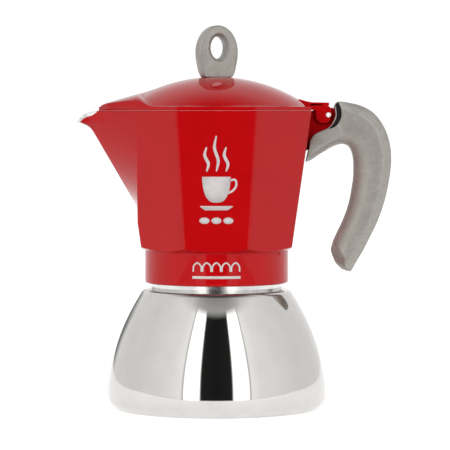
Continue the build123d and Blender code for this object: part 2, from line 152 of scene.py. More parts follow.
def rounded(points: Sequence[tuple[float, float, float]], steps: int = 6, closed: bool = True) -> list[Pair]:
    """Round the corners of an outline.

    Args:
        points: Corners as (x, y, radius).
        steps: Points on each rounded corner.
        closed: Whether the outline closes on itself.

    Returns:
        The outline with each corner drawn as an arc.
    """
    out: list[Pair] = []
    count = len(points)
    for n, (x, y, radius) in enumerate(points):
        if radius <= 0 or (not closed and n in (0, count - 1)):
            out.append((x, y))
            continue
        here = Vector((x, y))
        before = Vector(points[n - 1][:2]) - here
        after = Vector(points[(n + 1) % count][:2]) - here
        turn = math.pi - before.angle(after, math.pi)
        reach = min(radius * math.tan(turn / 2), before.length * 0.45, after.length * 0.45)
        start, end = here + before.normalized() * reach, here + after.normalized() * reach
        for k in range(steps):
            t = k / (steps - 1)
            spot = start * (1 - t) ** 2 + here * 2 * t * (1 - t) + end * t**2
            out.append((spot.x, spot.y))
    return out


def smooth_line(points: Sequence[Pair], steps: int) -> list[Pair]:
    """Points on a smooth line through given ones (Catmull-Rom with chord lengths).

    Args:
        points: The points to pass through.
        steps: Points on each stretch.

    Returns:
        The finer line, with the last point included.
    """
    ends = [Vector(points[0]) * 2 - Vector(points[1]), *map(Vector, points)]
    ends.append(Vector(points[-1]) * 2 - Vector(points[-2]))
    out: list[Pair] = []
    for n in range(1, len(ends) - 2):
        a, b, c, d = ends[n - 1 : n + 3]
        gaps = [max((q - p).length, 1e-6) for p, q in ((a, b), (b, c), (c, d))]
        leave = ((b - a) / gaps[0] - (c - a) / (gaps[0] + gaps[1]) + (c - b) / gaps[1]) * gaps[1]
        arrive = ((c - b) / gaps[1] - (d - b) / (gaps[1] + gaps[2]) + (d - c) / gaps[2]) * gaps[1]
        for k in range(steps):
            t = k / steps
            spot = (
                b * (2 * t**3 - 3 * t**2 + 1)
                + leave * (t**3 - 2 * t**2 + t)
                + c * (3 * t**2 - 2 * t**3)
                + arrive * (t**3 - t**2)
            )
            out.append((spot.x, spot.y))
    out.append((points[-1][0], points[-1][1]))
    return out


def soften(piece: bpy.types.Object, width: float, segments: int = 3, angle: float = 30.0) -> bpy.types.Object:
    """Round a piece's hard edges.

    Args:
        piece: The piece to change.
        width: Bevel width in millimetres.
        segments: Faces across the bevel.
        angle: Edges sharper than this many degrees are rounded.

    Returns:
        The same piece.
    """
    bevel = piece.modifiers.new("soft_edges", "BEVEL")
    bevel.width = width * MM
    bevel.segments = segments
    bevel.limit_method = "ANGLE"
    bevel.angle_limit = math.radians(angle)
    bevel.harden_normals = True
    bevel.miter_outer = "MITER_ARC"
    return piece


def cut(piece: bpy.types.Object, *tools: bpy.types.Object) -> bpy.types.Object:
    """Subtract closed tool meshes from a piece and delete the tools."""
    for tool in tools:
        step = piece.modifiers.new("cut", "BOOLEAN")
        step.operation = "DIFFERENCE"
        step.solver = "EXACT"
        step.object = tool
    bake(piece)
    for tool in tools:
        bpy.data.objects.remove(tool)
    return piece


def bake(piece: bpy.types.Object) -> bpy.types.Object:
    """Apply all of a piece's modifiers."""
    graph = bpy.context.evaluated_depsgraph_get()
    made = bpy.data.meshes.new_from_object(piece.evaluated_get(graph))
    piece.modifiers.clear()
    piece.data = made
    return piece


def plate(name: str, outline: Sequence[Pair], y0: float, y1: float) -> bpy.types.Object:
    """A plate cut to an (x, z) outline, from y0 to y1."""
    return loft(name, [[(x, y, z) for x, z in outline] for y in (y0, y1)], cap=True)


def circle(x: float, z: float, r: float, count: int = 48) -> list[Pair]:
    """Points on a circle in the XZ plane."""
    angles = [math.tau * n / count for n in range(count)]
    return [(x + r * math.cos(a), z + r * math.sin(a)) for a in angles]


def divided(corners: Sequence[Triple], arc_steps: int, flat_steps: int) -> list[Pair]:
    """An outline with rounded corners and with every flat divided alike.

    Args:
        corners: Corners as (x, y, radius).
        arc_steps: Points on each rounded corner.
        flat_steps: Stretches on each flat.

    Returns:
        The outline, with the same number of points for any corners of the same number.
    """
    arcs = []
    for n, (x, y, radius) in enumerate(corners):
        triple = [corners[n - 1], (x, y, max(radius, 0.01)), corners[(n + 1) % len(corners)]]
        arcs.append(rounded(triple, arc_steps, closed=False)[1:-1])
    out: list[Pair] = []
    for n, arc in enumerate(arcs):
        out += arc
        start, end = Vector(arc[-1]), Vector(arcs[(n + 1) % len(arcs)][0])
        for k in range(1, flat_steps):
            spot = start.lerp(end, k / flat_steps)
            out.append((spot.x, spot.y))
    return out


def settle(
    piece: bpy.types.Object,
    body: Body,
    paints: Sequence[bpy.types.Material],
    stands_for: Sequence[str] = (),
) -> bpy.types.Object:
    """Dress a piece, put it on its body and hide the CAD nodes it stands for.

    Args:
        piece: The piece.
        body: The body it rides on.
        paints: Its materials in slot order.
        stands_for: CAD nodes that it replaces.

    Returns:
        The same piece.
    """
    for paint in paints:
        piece.data.materials.append(paint)
    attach(piece, body.value)
    if stands_for:
        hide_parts(*stands_for)
    log.info("%s rides on %s", piece.name, body.value)
    return piece


# -------------------------------------------------------------------------------------------- finishes


@dataclass(frozen=True)
class Graph:
    """A small helper round one material's node tree."""

    material: bpy.types.Material

    @property
    def nodes(self) -> bpy.types.Nodes:
        """The tree's nodes."""
        return self.material.node_tree.nodes

    @property
    def shader(self) -> bpy.types.Node:
        """The Principled shader."""
        return self.nodes["Principled BSDF"]

    def add(self, kind: str, **values: object) -> bpy.types.Node:
        """Add a node and set its properties or sockets."""
        node = self.nodes.new(kind)
        for key, value in values.items():
            if hasattr(node, key):
                setattr(node, key, value)
            else:
                node.inputs[key.replace("_", " ").title()].default_value = value
        return node

    def link(self, source: bpy.types.NodeSocket, target: bpy.types.NodeSocket) -> None:
        """Join two sockets."""
        self.material.node_tree.links.new(source, target)

    def position(self, stretch: Triple = (1.0, 1.0, 1.0)) -> bpy.types.NodeSocket:
        """Object coordinates, stretched, which stay with the piece as it moves."""
        spot = self.add("ShaderNodeTexCoord")
        scale = self.add("ShaderNodeMapping")
        scale.inputs["Scale"].default_value = stretch
        self.link(spot.outputs["Object"], scale.inputs["Vector"])
        return scale.outputs["Vector"]

    def noise(
        self, size_mm: float, detail: float = 3.0, stretch: Triple = (1.0, 1.0, 1.0)
    ) -> bpy.types.NodeSocket:
        """A noise whose grains are about size_mm across."""
        grain = self.add("ShaderNodeTexNoise")
        grain.inputs["Scale"].default_value = 1.0 / (size_mm * MM)
        grain.inputs["Detail"].default_value = detail
        self.link(self.position(stretch), grain.inputs["Vector"])
        return grain.outputs["Fac"]

    def spread(self, source: bpy.types.NodeSocket, low: float, high: float) -> bpy.types.NodeSocket:
        """Map a 0.3 to 0.7 noise onto low to high."""
        span = self.add("ShaderNodeMapRange")
        span.inputs["From Min"].default_value = 0.3
        span.inputs["From Max"].default_value = 0.7
        span.inputs["To Min"].default_value = low
        span.inputs["To Max"].default_value = high
        self.link(source, span.inputs["Value"])
        return span.outputs["Result"]

    def blend(self, factor: bpy.types.NodeSocket, dark: Triple, light: Triple) -> bpy.types.NodeSocket:
        """A colour between two, by a factor."""
        mix = self.add("ShaderNodeMix", data_type="RGBA")
        tones = [s for s in mix.inputs if s.type == "RGBA"]
        tones[0].default_value = (*dark, 1.0)
        tones[1].default_value = (*light, 1.0)
        self.link(factor, mix.inputs["Factor"])
        return [s for s in mix.outputs if s.type == "RGBA"][0]

    def bump(self, height: bpy.types.NodeSocket, depth_mm: float) -> bpy.types.NodeSocket:
        """A bump of about depth_mm."""
        rough = self.add("ShaderNodeBump")
        rough.inputs["Distance"].default_value = depth_mm * MM
        rough.inputs["Strength"].default_value = 1.0
        self.link(height, rough.inputs["Height"])
        return rough.outputs["Normal"]


@dataclass(frozen=True)
class Finish:
    """A finish: its name, two close tones, gloss and grain.

    Attributes:
        name: The material's name.
        dark: The darker tone.
        light: The lighter tone.
        metallic: 1 for bare metal.
        roughness: The range the roughness wanders in.
        grain_mm: The size of the grain.
        depth_mm: How deep the grain is.
        stretch: How the grain is stretched along X, Y and Z.
        coat: Weight of the clear coat.
        specular: Level of the shader's specular.
    """

    name: str
    dark: Triple
    light: Triple
    metallic: float = 0.0
    roughness: Pair = (0.3, 0.4)
    grain_mm: float = 0.5
    depth_mm: float = 0.01
    stretch: Triple = (1.0, 1.0, 1.0)
    coat: float = 0.0
    specular: float = 0.5

    def material(self) -> bpy.types.Material:
        """Build the node material."""
        made = bpy.data.materials.new(self.name)
        made.use_nodes = True
        graph = Graph(made)
        shader = graph.shader
        shader.inputs["Metallic"].default_value = self.metallic
        shader.inputs["Specular IOR Level"].default_value = self.specular
        shader.inputs["Coat Weight"].default_value = self.coat
        shader.inputs["Coat Roughness"].default_value = 0.02
        patches = graph.noise(self.grain_mm * 12, 4.0)
        grain = graph.noise(self.grain_mm, 3.0, self.stretch)
        tone = graph.blend(graph.spread(patches, 0.0, 1.0), self.dark, self.light)
        graph.link(tone, shader.inputs["Base Color"])
        graph.link(graph.spread(grain, *self.roughness), shader.inputs["Roughness"])
        graph.link(graph.bump(grain, self.depth_mm), shader.inputs["Normal"])
        return made


@dataclass(frozen=True)
class PearlPlastic(Finish):
    """Moulded plastic with a fine pearl grain and flecks."""

    fleck_mm: float = 0.28

    def material(self) -> bpy.types.Material:
        """Build the finish, with light flecks over the two tones."""
        made = super().material()
        graph = Graph(made)
        shader = graph.shader
        tone = shader.inputs["Base Color"].links[0].from_socket
        fleck = graph.spread(graph.noise(self.fleck_mm, 1.0), 0.74, 1.26)
        mix = graph.add("ShaderNodeMix", data_type="RGBA", blend_type="MULTIPLY")
        mix.inputs["Factor"].default_value = 1.0
        sockets = [s for s in mix.inputs if s.type == "RGBA"]
        graph.link(tone, sockets[0])
        graph.link(fleck, sockets[1])
        graph.link([s for s in mix.outputs if s.type == "RGBA"][0], shader.inputs["Base Color"])
        return made


class Paint(Enum):
    """Every finish of the pot, and one painted shade."""

    LACQUER = Finish(
        "red_lacquer", (0.335, 0.0022, 0.0034), (0.365, 0.0028, 0.0042), 0.0, (0.06, 0.09), 1.4, 0.0012,
        specular=0.18,
    )
    POLISHED = Finish(
        "polished_steel", (0.605, 0.592, 0.575), (0.64, 0.628, 0.61), 1.0, (0.03, 0.05), 0.9, 0.0003,
        stretch=(1.0, 1.0, 6.0),
    )
    TURNED = Finish(
        "turned_aluminium", (0.70, 0.695, 0.685), (0.80, 0.795, 0.785), 1.0, (0.2, 0.3), 0.35, 0.006,
        stretch=(0.05, 0.05, 1.0),
    )
    CAST = Finish("cast_aluminium", (0.50, 0.498, 0.49), (0.62, 0.618, 0.61), 1.0, (0.32, 0.46), 0.7, 0.02)
    LIP = Finish("bare_lip", (0.70, 0.70, 0.695), (0.80, 0.80, 0.795), 1.0, (0.22, 0.34), 0.4, 0.008)
    PRESSED = Finish(
        "pressed_aluminium", (0.60, 0.598, 0.59), (0.70, 0.698, 0.69), 1.0, (0.26, 0.36), 0.45, 0.008
    )
    # painted shade: a near-black finish standing in for the shadow deep in the crescent grooves beside the
    # hinge
    GROOVE_SHADE = Finish(
        "painted_groove_shade", (0.008, 0.008, 0.009), (0.014, 0.013, 0.013), 0.0, (0.5, 0.62), 2.0, 0.004,
        specular=0.2,
    )
    PEWTER = PearlPlastic(
        "pewter_plastic", (0.27, 0.255, 0.232), (0.31, 0.293, 0.268), 0.35, (0.36, 0.48), 0.3, 0.01,
        specular=0.4,
    )
    BRASS = Finish("brass", (0.60, 0.40, 0.13), (0.70, 0.49, 0.18), 1.0, (0.22, 0.34), 0.5, 0.006)
    SILICONE = Finish("silicone", (0.62, 0.61, 0.58), (0.72, 0.71, 0.68), 0.0, (0.5, 0.62), 0.6, 0.012)
    BRIGHT = Finish("bright_steel", (0.66, 0.655, 0.65), (0.78, 0.775, 0.77), 1.0, (0.12, 0.2), 0.3, 0.004)
    PIN = Finish("satin_pin", (0.80, 0.79, 0.75), (0.88, 0.87, 0.83), 0.2, (0.4, 0.55), 0.25, 0.003)
    PRINT = Finish("white_print", (0.43, 0.405, 0.40), (0.49, 0.46, 0.455), 0.0, (0.34, 0.46), 0.3, 0.004)


@dataclass
class Paintbox:
    """Makes each finish once."""

    made: dict[Paint, bpy.types.Material] = field(default_factory=dict)

    def __getitem__(self, paint: Paint) -> bpy.types.Material:
        """The material of a finish."""
        if paint not in self.made:
            self.made[paint] = paint.value.material()
        return self.made[paint]


# ---------------------------------------------------------------------------------------------- boiler


@dataclass
class Boiler:
    """The polished bell; its liner, neck and valve keep their CAD meshes.

    Attributes:
        base_r: Widest radius.
        wall_z: Height of the widest place, where the wall starts to draw in.
        toe_z: Top of the rounded foot.
        toe_swell: Fullness of the rounded foot, 1 for a plain quarter ellipse.
        foot_r: Radius of the flat foot.
        shoulder_z: Top of the wall.
        shoulder_break: Size of the small bevel over the wall.
        skin_top: Radius and height where the skin meets the neck.
        sweep: Factor of the wall's curve.
        power: Power of the wall's curve.
        skin_t: Thickness of the skin.
        valve_tilt: Lean of the safety valve's pad, in degrees.
        toe_steps: Points on the rounded foot.
        wall_steps: Points on the wall.
    """

    base_r: float = 60.0
    wall_z: float = 9.0
    toe_z: float = 7.6
    toe_swell: float = 0.9
    foot_r: float = 51.5
    shoulder_z: float = 64.1
    shoulder_break: float = 0.9
    skin_top: Pair = (36.2, 67.0)
    sweep: float = 0.01058
    power: float = 1.865
    skin_t: float = 0.8
    valve_tilt: float = 20.0
    toe_steps: int = 24
    wall_steps: int = 72

    def wall(self, inset: float) -> list[Pair]:
        """Outside line of the bell from the foot's centre to the neck, drawn in by inset."""
        toe_r, toe_h = self.base_r - self.foot_r, self.toe_z - inset
        line: list[Pair] = [(0.02, inset), (self.foot_r * 0.5, inset)]
        for n in range(self.toe_steps + 1):
            a = math.pi / 2 * n / self.toe_steps
            swell = math.sin(a) ** self.toe_swell
            line.append((self.foot_r - inset + toe_r * swell, self.toe_z - toe_h * math.cos(a)))
        for n in range(1, self.wall_steps + 1):
            z = self.wall_z + (self.shoulder_z - self.wall_z) * n / self.wall_steps
            line.append((self.base_r - inset - self.sweep * (z - self.wall_z) ** self.power, z))
        edge_r = line[-1][0]
        top_r, top_z = self.skin_top
        bend = rounded([
            (edge_r, self.shoulder_z, 0),
            (edge_r - self.shoulder_break, self.shoulder_z + self.shoulder_break, 1.5),
            (top_r - 0.6, top_z + 0.05 - inset, 0),
        ], 8, closed=False)
        return line + bend[1:]

    def build(self, paints: Paintbox) -> None:
        """Build the bell and the valve's pad."""
        outside = self.wall(0.0)
        inside = self.wall(self.skin_t)[::-1]
        bell = turned("boiler_bell", outside + inside, 384)
        pad = self.valve_pad()
        settle(bell, Body.BOILER, [paints[Paint.POLISHED]], ["boiler_shell"])
        settle(pad, Body.BOILER, [paints[Paint.POLISHED]])

    def valve_pad(self) -> bpy.types.Object:
        """The flat round pad that the safety valve's washer seats on."""
        low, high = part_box("valve_washer")
        centre = (low + high) / 2 / MM
        tilt = math.radians(self.valve_tilt)
        out = Vector((0, math.cos(tilt), math.sin(tilt)))
        profile = rounded([(4.7, -4.0, 0), (4.7, -0.5, 0.2), (8.5, -0.5, 0.5), (8.5, -4.0, 0)], 5)
        pad = turned("valve_pad", profile, 96)
        turn = Vector((0, 0, 1)).rotation_difference(out).to_matrix().to_4x4()
        pad.data.transform(Matrix.Translation(centre * MM) @ turn)
        return pad


# ------------------------------------------------------------------------------------------- collector


@dataclass
class Collector:
    """The faceted upper chamber with its spout, collar and hinge lug.

    Attributes:
        rim_z: Height of the rim.
        low: Height and half-width across flats low down.
        rim_flat: Half-width across flats at the rim.
        collar_r: Radius of the round collar.
        collar_z: Underside and top of the collar.
        cone: Slope of the shallow cone over the collar.
        corner_r: Rounding of the upright edges.
        nose_r: Rounding of the keel.
        wall_t: Thickness of the wall.
        floor_z: Inside floor.
        root_x: Where the spout's sides leave the diagonal facets.
        keel: Height and reach of a place low on the spout's straight keel.
        keel_slope: How fast the keel reaches out with height.
        flare: How far the tip flares past the straight keel.
        flare_z: Where the flare starts.
        flare_power: How suddenly it flares.
        tip_z: Height of the tip.
        lip: The lip's dropping edge as (reach, height).
        band_x: Reach where the bare band of the lip starts.
        band_t: Its full width.
        band_rise: How fast it widens.
        band_levels: Rings in the band.
        levels: Rings up the wall.
        facet_steps: Points across a flat.
        bore_r: Bore of the collar.
        seat: Radius and height of the gasket's seat.
        under_z: Underside of the floor.
        lug_half: Half the width of the hinge lug.
        lip_spots: Points of the bare lip, noted as the skin is made.
        sections: Sections that were made already.
    """

    rim_z: float = 163.8
    low: Pair = (86.0, 40.6)
    rim_flat: float = 51.6
    collar_r: float = 39.5
    collar_z: Pair = (69.3, 87.2)
    cone: float = math.tan(math.radians(25.0))
    corner_r: float = 1.8
    nose_r: float = 1.6
    wall_t: float = 2.8
    floor_z: float = 92.0
    root_x: float = SPOUT_ROOT_X
    keel: Pair = (114.3, 45.7)
    keel_slope: float = 0.5955
    flare: float = 7.0
    flare_z: float = 148.0
    flare_power: float = 6.5
    tip_z: float = 157.4
    lip: tuple[Pair, ...] = (
        (65.5, 163.8), (68.2, 163.3), (71.2, 162.6), (73.4, 161.5), (75.6, 159.4), (77.1, 157.1),
    )
    band_x: float = 64.0
    band_t: float = 2.0
    band_rise: float = 0.42
    band_levels: int = 4
    levels: int = 60
    facet_steps: int = 9
    bore_r: float = 35.8
    seat: Pair = (34.5, 85.8)
    under_z: float = 89.0
    lug_half: float = 3.9
    lip_spots: set[Triple] = field(default_factory=set)
    sections: dict[Pair, list[Pair]] = field(default_factory=dict)

    def flat_at(self, z: float) -> float:
        """Half-width across flats at a height."""
        low_z, low = self.low
        return low + (z - low_z) * (self.rim_flat - low) / (self.rim_z - low_z)

    def keel_at(self, z: float) -> float:
        """Reach of the spout's straight keel at a height."""
        (low_z, low_r), slope = self.keel, self.keel_slope
        return max(low_r + (z - low_z) * slope, self.flat_at(z))

    def reach_at(self, z: float) -> float:
        """How far the tip reaches at a height: the straight keel, then a short flare."""
        rise = min(max((z - self.flare_z) / (self.tip_z - self.flare_z), 0.0), 1.0)
        return self.keel_at(min(z, self.tip_z)) + self.flare * rise**self.flare_power

    def lip_height(self, x: float) -> float:
        """Height of the rim at a place along X."""
        reach = -x
        if reach <= self.lip[0][0]:
            return self.rim_z
        for (ra, za), (rb, zb) in zip(self.lip, self.lip[1:]):
            if reach <= rb:
                return za + (zb - za) * (reach - ra) / (rb - ra)
        return self.lip[-1][1]

    def corners(self, z: float, inset: float) -> list[Triple]:
        """Corners of a level section as (x, y, radius), the same number at every height."""
        flat = self.flat_at(z) - inset
        half = flat * TAN_HALF_CORNER
        root_x = min(self.root_x - inset * 0.35, flat)
        root_y = math.sqrt(2) * flat - root_x
        keel = max(self.keel_at(z) - inset * 1.35, root_x)
        nose = max(self.reach_at(z) - inset * 1.35, root_x)
        soft = max(self.corner_r - inset * 0.3, 0.5)
        side = [(flat, half, soft), (half, flat, soft), (-half, flat, soft), (-root_x, root_y, 0.9)]
        for share in (0.3, 0.6, 0.86):
            bulge = (nose - keel) * share**9
            side.append((-root_x - (keel - root_x) * share - bulge, root_y * (1 - share), 0.0))
        mirrored = [(x, -y, r) for x, y, r in reversed(side)]
        return side + [(-nose, 0.0, self.nose_r)] + mirrored

    def section(self, z: float, inset: float = 0.0) -> list[Pair]:
        """Points of a level section, with flats divided so that every ring matches."""
        return divided(self.corners(z, inset), 5, self.facet_steps)

    def columns(self, inset: float, foot: Callable[[float, float], float]) -> list[Ring]:
        """Rings from the foot of the facets to the rim, each point climbing its own column.

        Args:
            inset: How far the wall is drawn in.
            foot: Gives the height of the lowest ring at a place.

        Returns:
            The rings; the last few lie within the bare band of the lip.
        """
        count = len(self.section(self.rim_z, inset))
        spans = []
        for k in range(count):
            top = self.rim_z
            for _ in range(14):
                top = self.lip_height(self.section_at(top, inset)[k][0])
            low = self.low[0] + 2.0
            for _ in range(6):
                low = foot(*self.section_at(low, inset)[k])
            nose = max(-self.section_at(top, inset)[k][0] - self.band_x, 0.0)
            spans.append((low, top - min(self.band_t, self.band_rise * nose + 0.02), top))
        rings: list[Ring] = []
        for n in range(self.levels + self.band_levels + 1):
            ring: Ring = []
            for k, (low, band, top) in enumerate(spans):
                if n <= self.levels:
                    z = low + (band - low) * (1 - (1 - n / self.levels) ** 1.6)
                else:
                    z = band + (top - band) * (n - self.levels) / self.band_levels
                x, y = self.section_at(z, inset)[k]
                ring.append((x, y, z))
            rings.append(ring)
        return rings

    def section_at(self, z: float, inset: float) -> list[Pair]:
        """The section at a height, kept for the next time it is asked for."""
        key = (round(z, 3), inset)
        if key not in self.sections:
            self.sections[key] = self.section(key[0], inset)
        return self.sections[key]

    def round_ring(self, like: Ring, r: float, z: float) -> Ring:
        """A level circle with a point below each point of another ring."""
        spots = []
        for x, y, _ in like:
            a = math.atan2(y, x)
            spots.append((r * math.cos(a), r * math.sin(a), z))
        return spots

    def shell(self) -> bpy.types.Object:
        """Outside, rim and inside as one closed skin."""
        low_z, top_z = self.collar_z
        outside = self.columns(0.0, lambda x, y: top_z + (math.hypot(x, y) - self.collar_r) * self.cone)
        foot = outside[0]
        seat_r, seat_z = self.seat
        inner_foot = [(3.0, self.under_z), (28.3, self.under_z)]
        under = [
            (seat_r - 4, self.under_z), (seat_r, self.under_z), (seat_r, seat_z), (self.bore_r, seat_z),
            (self.bore_r, low_z + 0.6), (self.bore_r + 0.6, low_z),
        ]
        edge = rounded([
            (self.collar_r - 3, low_z, 0), (self.collar_r, low_z, 1.5), (self.collar_r, low_z + 4, 0),
        ], 6, closed=False)[1:-1]
        upper = [(self.collar_r, top_z - 0.35), (self.collar_r + 0.12, top_z - 0.02)]
        collar = [self.round_ring(foot, r, z) for r, z in inner_foot + under + edge + upper]
        inside = self.columns(self.wall_t, lambda x, y: self.floor_z)[::-1]
        base = inside[-1]
        boss = ((34.0, self.floor_z + 0.1), (12.0, 94.9), (5.0, 95.2), (5.0, self.under_z))
        heap = [self.round_ring(base, r, z) for r, z in boss]
        rim = self.rim_rings(outside[-1], inside[0])
        bare = [*outside[-self.band_levels - 1 : -1], *rim]
        self.lip_spots = {spot_key(p) for ring in bare for p in ring if -p[0] > self.band_x + 0.4}
        return loft("collector_shell", collar + outside[:-1] + rim + inside[1:] + heap, wrap=True)

    def rim_rings(self, outer: Ring, inner: Ring) -> list[Ring]:
        """The rounded rim between the outside and the inside."""
        steps = ((0.0, 0.5), (0.0, 0.25), (0.08, 0.05), (0.2, 0.0), (0.8, 0.0), (0.92, 0.05), (1.0, 0.3))
        rings = []
        for share, drop in steps:
            ring = []
            for a, b in zip(outer, inner):
                spot = Vector(a).lerp(Vector(b), share)
                ring.append((spot.x, spot.y, spot.z - drop))
            rings.append(ring)
        return rings

    def paint_sides(self, shell: bpy.types.Object) -> None:
        """Red outside, bare metal inside, under the floor and along the lip's edge."""
        spots = [spot_key(v.co / MM) for v in shell.data.vertices]
        for face in shell.data.polygons:
            centre = face.center / MM
            reach = Vector((centre.x, centre.y)).length
            out = face.normal.dot(Vector((centre.x, centre.y, 0)).normalized())
            lip = all(spots[v] in self.lip_spots for v in face.vertices)
            rim = centre.z > self.lip_height(centre.x) - 0.4 and centre.z > 150
            inside = out < 0.25 and face.normal.z > -0.3 and centre.z > self.floor_z - 1 and not rim
            under = centre.z < self.floor_z - 1 and (out < -0.5 or reach < self.collar_r - 2.2)
            face.material_index = 2 if lip else (1 if inside or under else 0)

    def lug(self) -> bpy.types.Object:
        """The tongue that carries the hinge pin, with the boss for the handle."""
        tongue = rounded([
            (47.5, 141, 0), (58, 146.5, 0.6), (62, 148, 0.8), (62, 153.4, 1.0),
            (63.8, 156.6, 1.0), (65.9, 160.0, 3.0), (65.2, 165.4, 3.0), (58.0, 165.4, 1.0), (50, 163.0, 0),
            (49.6, 158, 0),
        ], 7)
        body = plate("hinge_lug", tongue, -self.lug_half, self.lug_half)
        hole = plate("pin_hole", circle(*PIN_SPOT, PIN_HOLE_R), -self.lug_half - 1, self.lug_half + 1)
        return soften(cut(body, hole), 0.45, 3, 40)

    def thread(self) -> bpy.types.Object:
        """The helical ridge inside the collar."""
        return ridge("collar_thread", 36.0, 34.6, 74.0, 9.6, 4.0)

    def build(self, paints: Paintbox) -> None:
        """Build the chamber, lug and thread."""
        shell = self.shell()
        self.paint_sides(shell)
        shell.data.set_sharp_from_angle(angle=math.radians(38))
        cast = [paints[Paint.LACQUER], paints[Paint.CAST], paints[Paint.LIP]]
        settle(shell, Body.COLLECTOR, cast, ["collector"])
        settle(self.lug(), Body.COLLECTOR, [paints[Paint.LACQUER]])
        settle(self.thread(), Body.COLLECTOR, [paints[Paint.CAST]])


def spot_key(spot: Sequence[float]) -> Triple:
    """A point rounded to hundredths of a millimetre, to look it up by."""
    return round(spot[0], 2), round(spot[1], 2), round(spot[2], 2)


def ridge(
    name: str, foot_r: float, crest_r: float, z0: float, height: float, lead: float
) -> bpy.types.Object:
    """A helical thread ridge with rounded flanks.

    Args:
        name: The piece's name.
        foot_r: Radius at the ridge's foot.
        crest_r: Radius at its crest.
        z0: Centre height of its start.
        height: How far it climbs.
        lead: Rise of one turn.

    Returns:
        The new object.
    """
    per_turn, run_out = 120, 12
    total = int(height / lead * per_turn)
    rings = []
    for n in range(total + 1):
        a = math.tau * n / per_turn
        z = z0 + lead * n / per_turn
        fade = min(1.0, n / run_out, (total - n) / run_out)
        crest = foot_r + (crest_r - foot_r) * fade
        section = rounded([(foot_r, -1.2, 0), (crest, -0.65, 0.35), (crest, 0.65, 0.35), (foot_r, 1.2, 0)], 4)
        rings.append([(r * math.cos(a), r * math.sin(a), z + dz) for r, dz in section])
    return loft(name, rings, cap=True)


# -------------------------------------------------------------------------------------------------- lid


